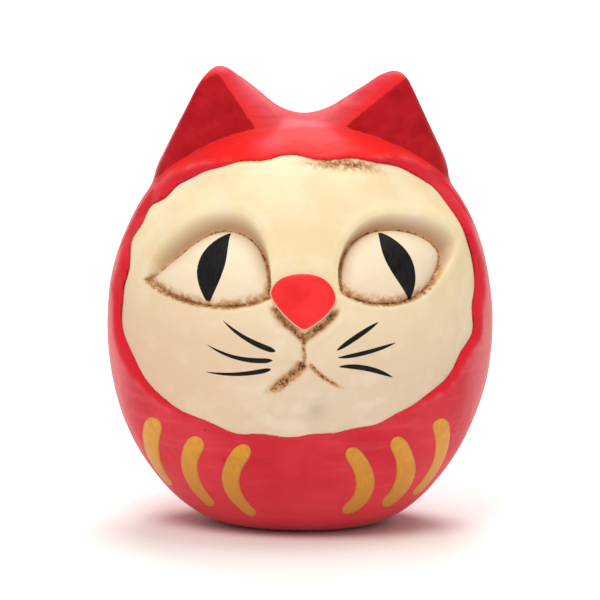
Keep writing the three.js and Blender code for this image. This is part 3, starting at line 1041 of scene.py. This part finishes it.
def film(name, left, right, place, thickness, material):
    """A coat of paint between two lines of (x, z) points that share their ends, laid where place says."""
    top, under = np.linspace(-1, 1, 9), np.linspace(1, -1, 5)[1:-1]
    across = np.concatenate([top, under])
    lift = np.concatenate([thickness * (1 - top**6) - 0.02, np.full(len(under), -FILM_SUNK)])
    rows, spokes = len(left) - 2, len(across)
    flat = left[1:-1, None] + (right - left)[1:-1, None] * (across[:, None] + 1) / 2
    flat = np.concatenate([[left[0]], flat.reshape(-1, 2), [left[-1]]])
    placed = place(*flat.T, np.concatenate([[0], np.tile(lift, rows), [0]]))
    vertices, faces = closed_rings(placed[0], placed[1:-1].reshape(rows, spokes, 3), placed[-1])
    along = np.repeat(np.linspace(0, 1, rows), spokes)
    side = np.tile(np.concatenate([np.abs(top) ** 4, np.ones(len(under))]), rows)
    own = {"foot": np.concatenate([[0], along, [1]]), "edge": np.concatenate([[1], side, [1]])}
    add_piece(name, vertices, faces, material, masks=own, tidy=True)


def stroke_sides(line, widths):
    """The two sides of a brush stroke along a line of points."""
    ahead = unit(np.gradient(line, axis=0))
    beside = np.stack([ahead[:, 1], -ahead[:, 0]], -1) * widths[:, None]
    return line - beside, line + beside


def rounded(t, head, foot):
    """A stroke's width share along its length: a rounded head and a narrower, rounded foot."""
    start = np.sqrt(np.clip(1 - (1 - np.clip(t / head, 0, 1)) ** 2, 0, 1))
    end = np.sqrt(np.clip(1 - (1 - np.clip((1 - t) / foot, 0, 1)) ** 2, 0, 1))
    return start * end


def on_skin(x, z, raised):
    """Points raised above the hood."""
    p, _ = egg_front(x, z, 0.0)
    p = settle(skin, p, 6)
    return p + unit(gradient(skin, p)) * raised[:, None]


def make_strokes(material):
    """The gold brush strokes round the belly."""
    t = np.linspace(0, 1, 60)
    for name, (*curve, widths) in STROKES.items():
        line = bezier(curve, len(t))
        length = np.hypot(*np.diff(line, axis=0).T).sum()
        half = np.interp(t, (0, 0.5, 1), widths)
        half = np.convolve(np.pad(half, 6, mode="edge"), np.ones(13) / 13, mode="valid")
        half = half * rounded(t, 1.15 * widths[0] / length, 1.3 * widths[2] / length)
        left, right = stroke_sides(line, half)
        film(name, left, right, on_skin, FILM_GOLD, material)


def make_whiskers(material):
    """The left whiskers thicken towards the muzzle. The right ones are even and end in a long point."""
    t = np.linspace(0, 1, 40)
    for name, (*curve, width) in WHISKERS.items():
        start, middle, end = np.array(curve)
        line = bezier((start, 2 * middle - (start + end) / 2, end), len(t))
        on_left = name.startswith("whisker_left")
        swell = 0.45 + 0.75 * (t if on_left else np.full(len(t), 0.5))
        point = 0.1 if on_left else 0.6
        half = width * np.sqrt(rounded(t, 0.75, 0.3)) * swell * rounded(t, 0.3, point)
        left, right = stroke_sides(line, half)
        film(name, left, right, lambda x, z, r: face_point(x, z, r)[0], FILM_BLACK, material)


def make_pupils(material):
    """The slit pupils, each from one tip to the other between its two sides."""
    for name, eye in EYES.items():
        left, right = (bezier(side, 60) for side in eye["pupil"])
        ends = (left[0] + right[0]) / 2, (left[-1] + right[-1]) / 2
        left = np.concatenate([[ends[0]], left, [ends[1]]])
        right = np.concatenate([[ends[0]], right, [ends[1]]])
        film(name.replace("eyeball", "pupil"), left, right,
             lambda x, z, r, eye=eye: eye_point(eye, x, z, r)[0], FILM_BLACK, material)


# ---------------------------------------------------------------- stage

def make_stage():
    """A pale floor that curves up behind the doll."""
    half, depth, bend, height, steps = 3.0, 2.5, 0.8, 3.0, 12
    profile = [(-4.0, 0.0), (depth, 0.0)]
    for i in range(1, steps + 1):
        turn = math.pi / 2 * i / steps
        profile.append((depth + bend * math.sin(turn), bend * (1 - math.cos(turn))))
    profile.append((depth + bend, height))
    vertices = [(x, y, z) for y, z in profile for x in (-half, half)]
    faces = [(2 * i, 2 * i + 1, 2 * i + 3, 2 * i + 2) for i in range(len(profile) - 1)]
    mesh = bpy.data.meshes.new("floor")
    mesh.from_pydata(vertices, [], faces)
    mesh.polygons.foreach_set("use_smooth", [True] * len(faces))
    mesh.materials.append(floor_paper())
    floor = bpy.data.objects.new("floor", mesh)
    bpy.context.scene.collection.objects.link(floor)


def soft_light(name, place, aim, size, power, colour):
    light = bpy.data.lights.new(name, "AREA")
    light.shape = "DISK"
    light.size = size
    light.energy = power
    light.color = colour
    made = bpy.data.objects.new(name, light)
    made.location = place
    made.rotation_euler = (Vector(aim) - Vector(place)).to_track_quat("-Z", "Y").to_euler()
    bpy.context.scene.collection.objects.link(made)


def make_lights():
    """Even light from all round, a soft key from the upper left, and one light over doll and floor each."""
    world = bpy.data.worlds.new("studio")
    world.use_nodes = True
    sky = world.node_tree.nodes["Background"].inputs
    sky["Color"].default_value = (1.0, 0.995, 0.985, 1)
    sky["Strength"].default_value = 0.46
    bpy.context.scene.world = world
    soft_light("key", (-0.25, -0.75, 1.15), (0, 0, 0.05), 0.7, 8.6, (1.0, 0.985, 0.95))
    soft_light("top", (0.25, 0.15, 1.2), (0, 0, 0.06), 0.9, 5.0, (1.0, 0.99, 0.97))
    soft_light("floor", (0, 0.95, 1.2), (0, 0.9, 0), 0.8, 14.0, (1.0, 1.0, 1.0))


def make_camera():
    """Aimed at the doll's middle from 8 degrees above, through a long lens, and rolled a little."""
    distance, view_width, elevation, roll = 1.5, 0.13015, math.radians(8), 0.012
    aim = Vector((0, 0, 0.0485))
    back = Vector((0, -math.cos(elevation), math.sin(elevation)))
    lens = bpy.data.cameras.new("camera")
    lens.sensor_width = 36
    lens.lens = lens.sensor_width * distance / view_width
    lens.clip_end = 50
    made = bpy.data.objects.new("camera", lens)
    made.location = aim + back * distance
    turn = (-back).to_track_quat("-Z", "Y").to_matrix().to_4x4()
    made.rotation_euler = (turn @ Matrix.Rotation(roll, 4, "Z")).to_euler()
    bpy.context.scene.collection.objects.link(made)
    bpy.context.scene.camera = made


def paint_node(name, material):
    """Gives a carried-over CAD node its finish."""
    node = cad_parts[name]
    node.data.materials.clear()
    node.data.materials.append(material)


bpy.context.scene.view_settings.view_transform = "Standard"
make_camera()
make_lights()
make_stage()
make_skin(red_paint())
cream = cream_paint()
make_face(cream)
for eye_name, eye_shape in EYES.items():
    make_eyeball(eye_name, eye_shape, cream)
make_nose(nose_paint())
black = black_paint()
make_pupils(black)
make_whiskers(black)
make_strokes(gold_paint())
paint_node("seam_strip", bare_paper())
paint_node("base_disc", base_board())
paint_node("base_weight", raw_clay())
